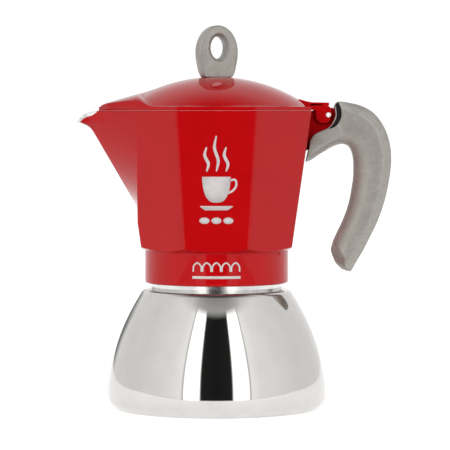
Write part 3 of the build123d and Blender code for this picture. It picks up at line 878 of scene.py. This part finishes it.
@dataclass
class Lid:
    """The domed lid with its spout cover and hinge ears.

    Attributes:
        flat: Half-width across flats.
        sphere_r: Radius of the dome.
        sphere_z: Height of the dome's centre.
        bottom: Underside of the edge.
        ledge: Height of the edge's flat ledge.
        thick: Thickness of the sheet.
        cover: Ridge of the spout cover as (reach, height).
        wall_h: Height of the cover's upright side.
        fullness: How square the cover's cross-section is.
        ear: Inner and outer face of each hinge ear.
        levels: Rings from the centre to the edge.
    """

    flat: float = 51.4
    sphere_r: float = 87.8
    sphere_z: float = 94.6
    bottom: float = 163.84
    ledge: float = 165.9
    thick: float = 1.6
    cover: tuple[Pair, ...] = (
        (30.0, 176.9), (38.0, 174.3), (44.4, 172.6), (60.3, 168.0), (63.0, 166.7), (64.6, 164.6),
    )
    wall_h: float = 2.3
    fullness: float = 2.5
    ear: Pair = (4.3, 7.2)
    levels: int = 64

    def outline(self) -> list[Pair]:
        """Plan of the lid: the octagon with the blunt cover over the spout."""
        half = self.flat * TAN_HALF_CORNER
        root_y = math.sqrt(2) * self.flat - SPOUT_ROOT_X - 0.2
        side = [
            (self.flat, half, 1.6), (half, self.flat, 1.6), (-half, self.flat, 1.6),
            (-SPOUT_ROOT_X, root_y, 0.8), (-59.5, 12.6, 5.0), (-64.6, 4.8, 3.5),
        ]
        mirrored = [(x, -y, r) for x, y, r in reversed(side)]
        return divided(side + mirrored, 7, 14)

    def ridge_at(self, reach: float) -> float:
        """Height of the cover's ridge."""
        for (ra, za), (rb, zb) in zip(self.cover, self.cover[1:]):
            if reach <= rb:
                return za + (zb - za) * (reach - ra) / (rb - ra)
        return self.cover[-1][1]

    def dome_at(self, x: float, y: float) -> float:
        """Height of the plain dome."""
        return self.sphere_z + math.sqrt(max(self.sphere_r**2 - x * x - y * y, 0.0))

    def cover_at(self, x: float, y: float) -> float:
        """Height of the spout cover, or 0 away from it."""
        reach = -x
        if reach < 26.0:
            return 0.0
        ridge_z = self.ridge_at(reach)
        span = max((77.6 - reach) * 0.885, 1.0)
        share = min(abs(y) / span, 1.0)
        eaves = min(self.ledge + self.wall_h * 0.2, ridge_z)
        roof = eaves + (ridge_z - eaves) * (1 - share**self.fullness) ** (1 / self.fullness)
        gate = min(max((reach - 33.0) / 11.0, 0.0), 1.0)
        gate = gate * gate * (3 - 2 * gate)
        hold = 1 - min(abs(y) / 17.0, 1.0) ** 1.5 * (1 - gate)
        return self.ledge + (roof - self.ledge) * hold

    def top_at(self, x: float, y: float, drop: float = 0.0) -> float:
        """Height of the upper skin, lowered by drop for the underside."""
        dome = self.dome_at(x, y)
        cover = self.cover_at(x, y)
        crown = smooth_max(dome, cover, 0.35)
        return smooth_max(crown, self.ledge, 0.3) - drop

    def skin(self) -> bpy.types.Object:
        """Upper skin, edge and underside as one closed mesh."""
        plan = self.outline()
        rings: list[Ring] = []
        for n in range(1, self.levels + 1):
            share = 1 - (1 - n / self.levels) ** 1.25
            rings.append([(x * share, y * share, self.top_at(x * share, y * share)) for x, y in plan])
        edge = rings.pop()
        point = 0.0003
        centre = [(x * point, y * point, self.top_at(0, 0)) for x, y in plan]
        round_edge = []
        for share, drop in ((0.9935, 0.0), (0.9965, 0.12), (0.999, 0.4), (1.0, 0.8)):
            ring = []
            for (x, y), (_, _, z) in zip(plan, edge):
                low = max(z - drop, self.bottom + 0.4)
                ring.append((x * share, y * share, low))
            round_edge.append(ring)
        lips = ((1.0, 0.35), (0.997, 0.0), (0.965, 0.0))
        lower = [[(x * s, y * s, self.bottom + d) for x, y in plan] for s, d in lips]
        inside = []
        count = 24
        for n in range(count, 0, -1):
            share = 0.96 * n / count
            ring = []
            for x, y in plan:
                px, py = x * share, y * share
                z = max(self.top_at(px, py, self.thick), self.bottom + 0.05 * (count - n))
                ring.append((px, py, z))
            inside.append(ring)
        bottom_centre = [(x * point, y * point, self.top_at(0, 0, self.thick)) for x, y in plan]
        return loft("lid_dome", [centre, *rings, *round_edge, *lower, *inside, bottom_centre], cap=True)

    def ears(self) -> list[bpy.types.Object]:
        """Two cheeks round the pin and the squared plate between them."""
        near, far = self.ear
        cheek = [
            (49.0, 165.6, 0), (51.8, 167.9, 0.8), (57.0, 167.7, 3), (62.2, 166.0, 2.2), (63.5, 161.8, 2.6),
            (61.6, 157.3, 3.0), (56.8, 156.7, 3.0), (54.3, 159.6, 2.4), (54.2, 163.7, 1.0),
            (51.0, 164.6, 0.5),
        ]
        made = []
        for side in (-1, 1):
            low, high = sorted((side * near, side * far))
            body = plate("hinge_ear_front" if side < 0 else "hinge_ear_back", rounded(cheek, 8), low, high)
            hole = plate("ear_hole", circle(*PIN_SPOT, PIN_HOLE_R), low - 1, high + 1)
            made.append(soften(cut(body, hole), 0.5, 3, 40))
        top = [
            (43.5, 169.4, 0), (45.2, 170.1, 0.4), (49.0, 169.0, 2), (52.0, 168.4, 2), (61.6, 168.2, 0.4),
            (61.6, 166.5, 0.4), (50, 166.2, 0),
        ]
        made.append(soften(plate("hinge_plate", rounded(top, 5), -far, far), 0.35, 3, 40))
        return made

    def build(self, paints: Paintbox) -> None:
        """Build the lid and its ears."""
        skin = self.skin()
        skin.data.set_sharp_from_angle(angle=math.radians(50))
        settle(skin, Body.LID, [paints[Paint.LACQUER]], ["lid"])
        for ear in self.ears():
            settle(ear, Body.LID, [paints[Paint.LACQUER]])


def smooth_max(a: float, b: float, width: float) -> float:
    """The larger of two heights, with a rounded meeting about width high."""
    if abs(a - b) >= width:
        return max(a, b)
    share = 0.5 + (a - b) / (2 * width)
    return a * share + b * (1 - share) + width * share * (1 - share)


# ------------------------------------------------------------------------------------------------- knob


@dataclass
class Knob:
    """The ring-shaped knob.

    Attributes:
        turn: Its turn about Z in degrees.
        half_w: Half its width.
        half_t: Half its thickness.
        wide_z: Height of its widest place.
        top_z: Its top.
        lower_h: Half-height of the lower ellipse.
        base_z: Where it stands on the lid.
        hole: Width, height and centre height of the finger hole.
        dish: Width of the dished edge of the hole.
    """

    turn: float = 14.0
    half_w: float = 11.2
    half_t: float = 5.4
    wide_z: float = 195.3
    top_z: float = 210.5
    lower_h: float = 17.9
    base_z: float = 182.1
    hole: Triple = (8.3, 12.4, 198.3)
    dish: float = 1.7

    def rim_at(self, a: float) -> float:
        """Distance from the hole's centre to the outside at an angle in the XZ plane."""
        low, high = 0.0, 40.0
        for _ in range(40):
            mid = (low + high) / 2
            x, z = mid * math.cos(a), self.hole[2] + mid * math.sin(a)
            tall = self.top_z - self.wide_z if z > self.wide_z else self.lower_h
            inside = (x / self.half_w) ** 2 + ((z - self.wide_z) / tall) ** 2 < 1 and z > self.base_z
            low, high = (mid, high) if inside else (low, mid)
        return low

    def build(self, paints: Paintbox) -> None:
        """Build the ring from sections round its hole."""
        rings: list[Ring] = []
        count = 168
        for n in range(count):
            a = math.tau * n / count
            outer = self.rim_at(a)
            hole = 1 / math.hypot(math.cos(a) / (self.hole[0] / 2), math.sin(a) / (self.hole[1] / 2))
            down = max(0.0, min(1.0, (-math.sin(a) - 0.72) / 0.12))
            soft = 2.9 * (1 - down) + 0.5 * down
            section = rounded([
                (outer, self.half_t, soft), (outer, -self.half_t, soft),
                (hole + self.dish, -self.half_t, 0.7), (hole, -self.half_t + 1.9, 1.0),
                (hole, self.half_t - 1.9, 1.0), (hole + self.dish, self.half_t, 0.7),
            ], 8)
            rings.append([(r * math.cos(a), y, self.hole[2] + r * math.sin(a)) for r, y in section])
        ring = loft("knob_ring", rings, wrap=True)
        ring.data.transform(Matrix.Rotation(math.radians(self.turn), 4, "Z"))
        ring.data.set_sharp_from_angle(angle=math.radians(60))
        settle(ring, Body.LID, [paints[Paint.PEWTER]], ["knob"])


# ----------------------------------------------------------------------------------------------- handle


@dataclass
class Handle:
    """The hooked handle, skinned between its outer and inner lines.

    Attributes:
        half_t: Half its thickness at the top.
        tip_half_t: Half its thickness at the tip.
        crease: Distance from the outer line to the crease.
        lines: Pairs of outer and inner points from the throat to the tip.
        steps: Sections between two pairs.
        band_start: Share of the sections after which the outer edge is bevelled.
        facet_start: Share after which the tip's inner side is cut flat.
        groove_deep: How deep the crescent groove goes.
        room_r: Radius of the room round the hinge.
        room_half: Half the width of that room.
        swing_to: How far in X and Z the room for the opened lid reaches.
        screw_x: Where the handle's screw stands.
        screw_sink: Radius and top of the hole for the screw's head.
    """

    half_t: float = 10.4
    tip_half_t: float = 8.6
    crease: float = 3.5
    lines: tuple[tuple[Pair, Pair], ...] = (
        ((50.6, 142.6), (49.0, 135.6)), ((51.6, 148.2), (50.9, 136.2)), ((53.6, 150.9), (53.6, 137.8)),
        ((57.0, 152.6), (57.2, 140.0)), ((60.8, 154.3), (61.0, 142.6)), ((63.6, 157.6), (65.0, 144.6)),
        ((64.9, 161.4), (67.8, 145.4)), ((64.6, 165.6), (69.4, 145.5)), ((65.6, 168.0), (69.9, 145.4)),
        ((73.2, 168.0), (71.6, 144.8)), ((79.4, 166.4), (73.0, 143.4)), ((85.4, 163.1), (74.1, 141.0)),
        ((90.9, 156.5), (74.8, 137.8)), ((94.8, 146.6), (75.1, 133.0)), ((95.8, 137.0), (75.0, 127.5)),
        ((94.8, 126.8), (74.2, 121.5)), ((92.0, 113.6), (72.4, 112.4)), ((87.1, 100.4), (68.6, 102.0)),
        ((83.8, 93.8), (65.6, 95.8)), ((80.5, 87.2), (63.4, 90.2)), ((78.4, 83.6), (62.9, 87.0)),
        ((76.6, 80.6), (63.9, 83.7)), ((74.9, 77.5), (65.6, 80.0)), ((73.6, 75.5), (68.8, 76.7)),
    )
    steps: int = 5
    band_start: float = 0.4
    facet_start: float = 0.8
    groove_deep: float = 2.1
    room_r: float = 7.4
    room_half: float = 7.8
    swing_to: Pair = (70.4, 172.0)
    screw_x: float = 57.0
    screw_sink: Pair = (4.0, 143.2)

    def section(self, outer: Vector, inner: Vector, half: float, square: float, facet: float) -> Ring:
        """One closed section: a flatter back band to a crease, then a rounded side to the inner line.

        Args:
            outer: Its outer end.
            inner: Its inner end.
            half: Half its thickness.
            square: 1 for a squared outer edge, 0 for the bevelled band.
            facet: Share of the width that the flat cut at the tip takes.

        Returns:
            The section's points.
        """
        share = min(self.crease / (outer - inner).length, 0.3)
        band = [
            (0.0, 0.0), (0.0, 0.34), (0.004, 0.56), (0.02, 0.67), (share * 0.5, 0.775), (share * 0.9, 0.865),
            (share, 0.872), (share * 1.08, 0.9), (share * 1.3, 0.945),
        ]
        side = [(s, y + (0.97 - y) * square * min(y * 1.4, 1.0)) for s, y in band]
        bow, start = 18, share * 1.3
        for n in range(1, bow + 1):
            u = math.pi / 2 * n / bow
            s = start + (1 - start) * math.sin(u) ** 0.95
            y = (0.945 + 0.055 * math.sin(min(u * 2.2, math.pi))) * max(math.cos(u), 0.0) ** 0.78
            edge = 1 - facet
            if facet > 0 and s > edge:
                y = min(y, 0.9 * (1 - s) / facet + 0.02 * (n < bow))
            side.append((s, y))
        ring = [(outer.lerp(inner, s), y * half) for s, y in side]
        ring += [(spot, -y) for spot, y in reversed(ring[1:-1])]
        return [(spot.x, y, spot.y) for spot, y in ring]

    def build(self, paints: Paintbox) -> None:
        """Skin the handle, open its pocket for the hinge and its slot for the boss."""
        outer = smooth_line([pair[0] for pair in self.lines], self.steps)
        inner = smooth_line([pair[1] for pair in self.lines], self.steps)
        last = len(outer) - 1
        rings = []
        for n, (a, b) in enumerate(zip(outer, inner)):
            share = n / last
            half = self.half_t + (self.tip_half_t - self.half_t) * max(0.0, share - 0.4) / 0.6
            if share > 0.95:
                half *= 1 - 0.28 * ((share - 0.95) / 0.05) ** 2
            square = min(max((self.band_start - share) / 0.04, 0.0), 1.0)
            facet = 0.5 * min(max((share - self.facet_start) / 0.1, 0.0), 1.0)
            rings.append(self.section(Vector(a), Vector(b), half, square, facet))
        body = loft("handle_grip", rings, cap=True)
        (pin_x, pin_z), (far_x, far_z) = PIN_SPOT, self.swing_to
        corners = [(pin_x, pin_z), (far_x, pin_z), (far_x, far_z), (pin_x, far_z)]
        room = plate("hinge_room", circle(pin_x, pin_z, self.room_r, 96), -self.room_half, self.room_half)
        swing = plate("swing_room", corners, -self.room_half, self.room_half)
        moons = [self.moon(side) for side in (-1, 1)]
        slot = plate("boss_slot", [(40, 137.0), (62.3, 147.8), (62.3, 158), (40, 158)], -4.1, 4.1)
        body = cut(body, room, swing, slot, self.sink(), *moons)
        body.data.set_sharp_from_angle(angle=math.radians(42))
        # paint shade into the crescent grooves: their floors and walls get the near-black painted-shade
        # material
        self.paint_groove_shade(body)
        # the second material is the painted shade of the crescent grooves
        settle(body, Body.COLLECTOR, [paints[Paint.PEWTER], paints[Paint.GROOVE_SHADE]], ["handle"])

    def paint_groove_shade(self, body: bpy.types.Object) -> None:
        """Paint shade onto the floor and the walls of the crescent grooves, where the hinge's shadow falls.
        """
        for face in body.data.polygons:
            x, y, z = face.center / MM
            depth = abs(y) - (self.half_t - self.groove_deep)
            floor = abs(depth) < 0.12 and abs(face.normal.y) > 0.95
            wall = depth > -0.05 and abs(face.normal.y) < 0.1
            face.material_index = int((floor or wall) and 60.0 < x < 69.5 and 153.0 < z < 169.0)

    def moon(self, side: int) -> bpy.types.Object:
        """The crescent groove that frames the hinge on one side."""
        right = smooth_line([(66.0, 169.5), (67.9, 164.8), (68.0, 160.0), (65.2, 155.4), (60.8, 153.5)], 8)
        left = smooth_line([(60.8, 153.5), (63.9, 157.0), (65.5, 160.6), (65.2, 164.9), (64.6, 169.5)], 8)
        low, high = sorted((side * (self.half_t - self.groove_deep), side * (self.half_t + 2)))
        return plate(f"moon_{side}", right + left[1:], low, high)

    def sink(self) -> bpy.types.Object:
        """The upright round cutter for the head of the handle's screw."""
        r, top = self.screw_sink
        ring = circle(self.screw_x, 0.0, r)
        return loft("screw_sink", [[(x, y, z) for x, y in ring] for z in (120, top)], cap=True)


# ----------------------------------------------------------------------------------------------- print


@dataclass
class Print:
    """White print on the front facet and the collar: a plain cup with steam, and a coil with a line.

    Attributes:
        chamber: The collector, whose facet carries the print.
        proud: How far the print stands off the lacquer.
        sunk: How far it is let into the lacquer.
        cup_z: Height of the cup's rim.
        steam_z: Foot of the steam.
        bean_z: Height of the row of beans.
        bean: Half the width and half the height of a bean.
        coil_z: Foot of the loops on the collar.
        rule_z: Height of the line under them.
    """

    chamber: Collector
    proud: float = 0.06
    sunk: float = 0.02
    cup_z: float = 128.6
    steam_z: float = 131.4
    bean_z: float = 105.0
    bean: Pair = (2.7, 1.75)
    coil_z: float = 77.4
    rule_z: float = 74.3

    def on_facet(self, x: float, z: float, lift: float) -> Triple:
        """A place on the front facet, lifted off it."""
        return x, -self.chamber.flat_at(z) - lift, z

    def on_collar(self, x: float, z: float, lift: float) -> Triple:
        """A place on the front of the round collar, lifted off it."""
        r = self.chamber.collar_r + lift
        return r * math.sin(x / r), -r * math.cos(x / r), z

    def patch(self, name: str, outline: Sequence[Pair]) -> bpy.types.Object:
        """A flat shape on the front facet."""
        layers = [[self.on_facet(x, z, lift) for x, z in outline] for lift in (-self.sunk, self.proud)]
        return loft(name, layers, cap=True)

    def stroke(
        self, name: str, spine: Sequence[Pair], width: float, place: Place, taper: float = 0.0
    ) -> bpy.types.Object:
        """A brush stroke along a smooth line.

        Args:
            name: The piece's name.
            spine: Points of its middle line.
            width: Its full width.
            place: Puts a point of the drawing on the pot.
            taper: 0 for an even width, 1 for pointed ends.

        Returns:
            The new object.
        """
        line = smooth_line(spine, 14)
        rings = []
        for n, (x, z) in enumerate(line):
            ahead = Vector(line[min(n + 1, len(line) - 1)]) - Vector(line[max(n - 1, 0)])
            fade = 1 - taper * (1 - math.sin(math.pi * (0.04 + 0.92 * n / (len(line) - 1))) ** 0.8)
            across = Vector((-ahead.y, ahead.x)).normalized() * width * fade / 2
            ends = [(x + across.x, z + across.y), (x - across.x, z - across.y)]
            low = [place(*spot, -self.sunk) for spot in ends]
            high = [place(*spot, self.proud) for spot in reversed(ends)]
            rings.append(low + high)
        return loft(name, rings, cap=True)

    def cup(self) -> list[bpy.types.Object]:
        """The cup, saucer, handle, steam and beans."""
        bowl = []
        for k in range(41):
            a = math.pi * k / 40
            half = 7.6 * abs(math.cos(a)) ** 0.7
            bowl.append((math.copysign(half, math.cos(a)), self.cup_z - 13.9 * math.sin(a)))
        saucer = rounded([(-9.4, 112.9, 0.4), (9.4, 112.9, 0.4), (6.0, 110.6, 1.4), (-6.0, 110.6, 1.4)], 6)
        loop = [(7.1, 126.6), (10.0, 126.9), (10.6, 124.0), (8.8, 121.2), (6.2, 119.8)]
        shapes = [self.patch("print_cup", bowl), self.patch("print_saucer", saucer)]
        shapes.append(self.stroke("print_cup_loop", loop, 1.15, self.on_facet))
        for n, (x, tall) in enumerate(((-5.2, 13.0), (0.0, 19.0), (5.2, 13.0))):
            bends = ((0.0, 0.0), (1.0, 0.28), (-1.0, 0.68), (0.0, 1.0))
            spine = [(x + aside, self.steam_z + tall * up) for aside, up in bends]
            shapes.append(self.stroke(f"print_steam_{n}", spine, 1.7, self.on_facet, 0.8))
        for n, x in enumerate((-6.4, 0.0, 6.4)):
            half_w, half_h = self.bean
            angles = [math.tau * k / 28 for k in range(28)]
            bean = [(x + half_w * math.cos(a), self.bean_z + half_h * math.sin(a)) for a in angles]
            shapes.append(self.patch(f"print_bean_{n}", bean))
        return shapes

    def coil(self) -> list[bpy.types.Object]:
        """Five open loops in a row over a line, on the collar."""
        shapes = []
        for n in range(5):
            x = -10.4 + 5.2 * n
            bends = ((-2.3, 0.0), (-1.9, 3.2), (0.0, 4.8), (1.9, 3.2), (2.3, 0.0))
            spine = [(x + aside, self.coil_z + up) for aside, up in bends]
            shapes.append(self.stroke(f"print_coil_{n}", spine, 0.85, self.on_collar))
        rule = [(-13.2 + 2.64 * n, self.rule_z) for n in range(11)]
        shapes.append(self.stroke("print_rule", rule, 1.5, self.on_collar))
        return shapes

    def build(self, paints: Paintbox) -> None:
        """Lay down every printed shape."""
        for shape in self.cup() + self.coil():
            settle(shape, Body.COLLECTOR, [paints[Paint.PRINT]])


# -------------------------------------------------------------------------------------- carried nodes


@dataclass
class CarriedParts:
    """The CAD nodes that keep their own meshes, each with its finish."""

    finishes: dict[str, Paint] = field(default_factory=lambda: {
        "boiler_liner": Paint.TURNED, "valve_washer": Paint.SILICONE, "valve_body": Paint.BRASS,
        "valve_retainer": Paint.BRASS, "valve_spring": Paint.BRIGHT, "valve_pin": Paint.BRASS,
        "valve_seal": Paint.SILICONE, "funnel": Paint.PRESSED, "funnel_plate": Paint.PRESSED,
        "gasket": Paint.SILICONE, "filter_plate": Paint.PRESSED, "coffee_column": Paint.CAST,
        "column_cap": Paint.CAST, "hinge_pin": Paint.PIN, "handle_screw": Paint.BRIGHT,
        "knob_insert": Paint.BRASS, "knob_washer": Paint.BRIGHT, "knob_screw": Paint.BRIGHT,
    })

    def build(self, paints: Paintbox) -> None:
        """Give every carried node its material."""
        for name, paint in self.finishes.items():
            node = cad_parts[name]
            node.data.materials.clear()
            node.data.materials.append(paints[paint])
            log.info("%s is dressed in %s", name, paint.value.name)


# ---------------------------------------------------------------------------------------------- studio


@dataclass
class Studio:
    """Pale floor, a soft room of light and the camera.

    Attributes:
        aim: Where the camera looks.
        eye: Where the camera stands.
        lens: Focal length on a 36 mm sensor.
        floor_glow: Emission of the floor.
        backdrop: Brightness of the plain backdrop.
        brightness: Brightness of the room.
    """

    aim: Triple = (4.6, 0.0, 100.9)
    eye: Triple = (4.6, -1480.0, 163.8)
    lens: float = 215.3
    floor_glow: float = 0.42
    backdrop: float = 1.05
    brightness: float = 2.5

    def camera(self) -> None:
        """Place the camera."""
        lens = bpy.data.cameras.new("camera")
        lens.lens = self.lens
        lens.sensor_width = 36.0
        lens.clip_end = 50.0
        eye = bpy.data.objects.new("camera", lens)
        eye.location = Vector(self.eye) * MM
        eye.rotation_euler = (Vector(self.aim) - Vector(self.eye)).to_track_quat("-Z", "Y").to_euler()
        bpy.context.scene.collection.objects.link(eye)
        bpy.context.scene.camera = eye

    def floor(self) -> None:
        """Lay a pale floor that reaches far behind the pot."""
        tones = (0.86, 0.86, 0.86), (0.88, 0.88, 0.88)
        paint = Finish("pale_floor", *tones, 0.0, (0.7, 0.8), 8.0, 0.02, specular=0.1)
        front, back, side = -210.0, 9000.0, 6000.0
        corners = [(-side, front, 0), (side, front, 0), (side, back, 0), (-side, back, 0)]
        ground = mesh_object("floor", corners, [(0, 1, 2, 3)])
        made = paint.material()
        shader = Graph(made).shader
        shader.inputs["Emission Color"].default_value = (1.0, 1.0, 1.0, 1.0)
        shader.inputs["Emission Strength"].default_value = self.floor_glow
        ground.data.materials.append(made)

    def room(self) -> None:
        """Light the room: bright strips beside a dark gap in front, soft grey elsewhere, dim overhead."""
        world = bpy.data.worlds.new("studio")
        world.use_nodes = True
        bpy.context.scene.world = world
        tree = world.node_tree
        tree.nodes.clear()

        def add(kind: str, **values: object) -> bpy.types.Node:
            """Add a node to the world and set its properties."""
            node = tree.nodes.new(kind)
            for key, value in values.items():
                setattr(node, key, value)
            return node

        def math_node(operation: str, a: object, b: object = None) -> bpy.types.NodeSocket:
            """Put one or two values or sockets through a math operation."""
            node = add("ShaderNodeMath", operation=operation)
            for socket, value in zip(node.inputs, (a, b)):
                if isinstance(value, bpy.types.NodeSocket):
                    tree.links.new(value, socket)
                elif value is not None:
                    socket.default_value = value
            return node.outputs[0]

        def ramp(source: bpy.types.NodeSocket, stops: Sequence[Pair]) -> bpy.types.NodeSocket:
            """Map a value to grey through (place, grey) stops."""
            node = add("ShaderNodeValToRGB")
            bar = node.color_ramp.elements
            while len(bar) < len(stops):
                bar.new(0.5)
            for element, (place, grey) in zip(bar, stops):
                element.position = place
                element.color = (grey, grey, grey, 1.0)
            tree.links.new(source, node.inputs[0])
            return node.outputs[0]

        spot = add("ShaderNodeTexCoord")
        parts = add("ShaderNodeSeparateXYZ")
        tree.links.new(spot.outputs["Generated"], parts.inputs[0])
        x, y, z = parts.outputs
        azimuth = math_node("ARCTAN2", x, math_node("MULTIPLY", y, -1.0))
        swing = math_node("DIVIDE", math_node("ABSOLUTE", azimuth), math.pi)
        height = math_node("ADD", math_node("MULTIPLY", z, 0.5), 0.5)
        around = ramp(swing, [
            (0.0, 0.006), (0.092, 0.008), (0.104, 1.0), (0.19, 0.86), (0.2, 0.18), (0.208, 0.5), (0.27, 0.44),
            (0.55, 0.37), (0.8, 0.37), (1.0, 0.42),
        ])
        tall = ramp(height, [
            (0.0, 0.35), (0.42, 0.6), (0.49, 1.0), (0.88, 1.0), (0.94, 0.5), (0.962, 0.14), (1.0, 0.1),
        ])
        overhead = ramp(swing, [
            (0.0, 0.25), (0.12, 0.27), (0.2, 0.33), (0.27, 0.42), (0.55, 0.37), (1.0, 0.42),
        ])
        high = ramp(height, [(0.0, 0.0), (0.885, 0.0), (0.905, 1.0), (1.0, 1.0)])
        meet = add("ShaderNodeMix")
        for number, source in ((0, high), (2, around), (3, overhead)):
            tree.links.new(source, meet.inputs[number])
        signed = math_node("ADD", math_node("DIVIDE", azimuth, math.tau), 0.5)
        beside = ramp(signed, [(0.0, 1.0), (0.03, 0.22), (0.065, 0.22), (0.1, 1.0), (1.0, 1.0)])
        above = ramp(height, [(0.0, 0.0), (0.52, 0.0), (0.62, 1.0), (1.0, 1.0)])
        corner = math_node("MAXIMUM", beside, above)
        room = math_node("MULTIPLY", math_node("MULTIPLY", meet.outputs[0], tall), corner)
        level = math_node("MULTIPLY", room, self.brightness)
        seen = add("ShaderNodeLightPath")
        mix = add("ShaderNodeMix")
        tree.links.new(seen.outputs["Is Camera Ray"], mix.inputs[0])
        tree.links.new(level, mix.inputs[2])
        mix.inputs[3].default_value = self.backdrop
        light = add("ShaderNodeBackground")
        tree.links.new(mix.outputs[0], light.inputs["Color"])
        tree.links.new(light.outputs[0], add("ShaderNodeOutputWorld").inputs[0])

    def lamp(self, name: str, spot: Triple, size: Pair, watts: float) -> None:
        """Hang a soft area light that faces the pot."""
        light = bpy.data.lights.new(name, "AREA")
        light.shape = "RECTANGLE"
        light.size, light.size_y = size[0] * MM, size[1] * MM
        light.energy = watts
        holder = bpy.data.objects.new(name, light)
        holder.location = Vector(spot) * MM
        holder.visible_glossy = False
        aim = Vector((0, 0, 110)) * MM
        holder.rotation_euler = (aim - holder.location).to_track_quat("-Z", "Y").to_euler()
        bpy.context.scene.collection.objects.link(holder)

    def build(self) -> None:
        """Build the studio."""
        self.camera()
        self.floor()
        self.room()
        self.lamp("key", (-500, -1500, 700), (900, 700), 10.8)
        self.lamp("fill", (700, -1300, 500), (700, 600), 4.7)
        bpy.context.scene.view_settings.view_transform = "Standard"


def main() -> None:
    """Build every piece in order."""
    logging.basicConfig(level=logging.INFO, format="%(name)s: %(message)s")
    paints = Paintbox()
    Studio().build()
    chamber = Collector()
    for part in (Boiler(), chamber, Lid(), Knob(), Handle(), Print(chamber), CarriedParts()):
        part.build(paints)
        log.info("%s is done", type(part).__name__)


if __name__ == "__main__":
    main()
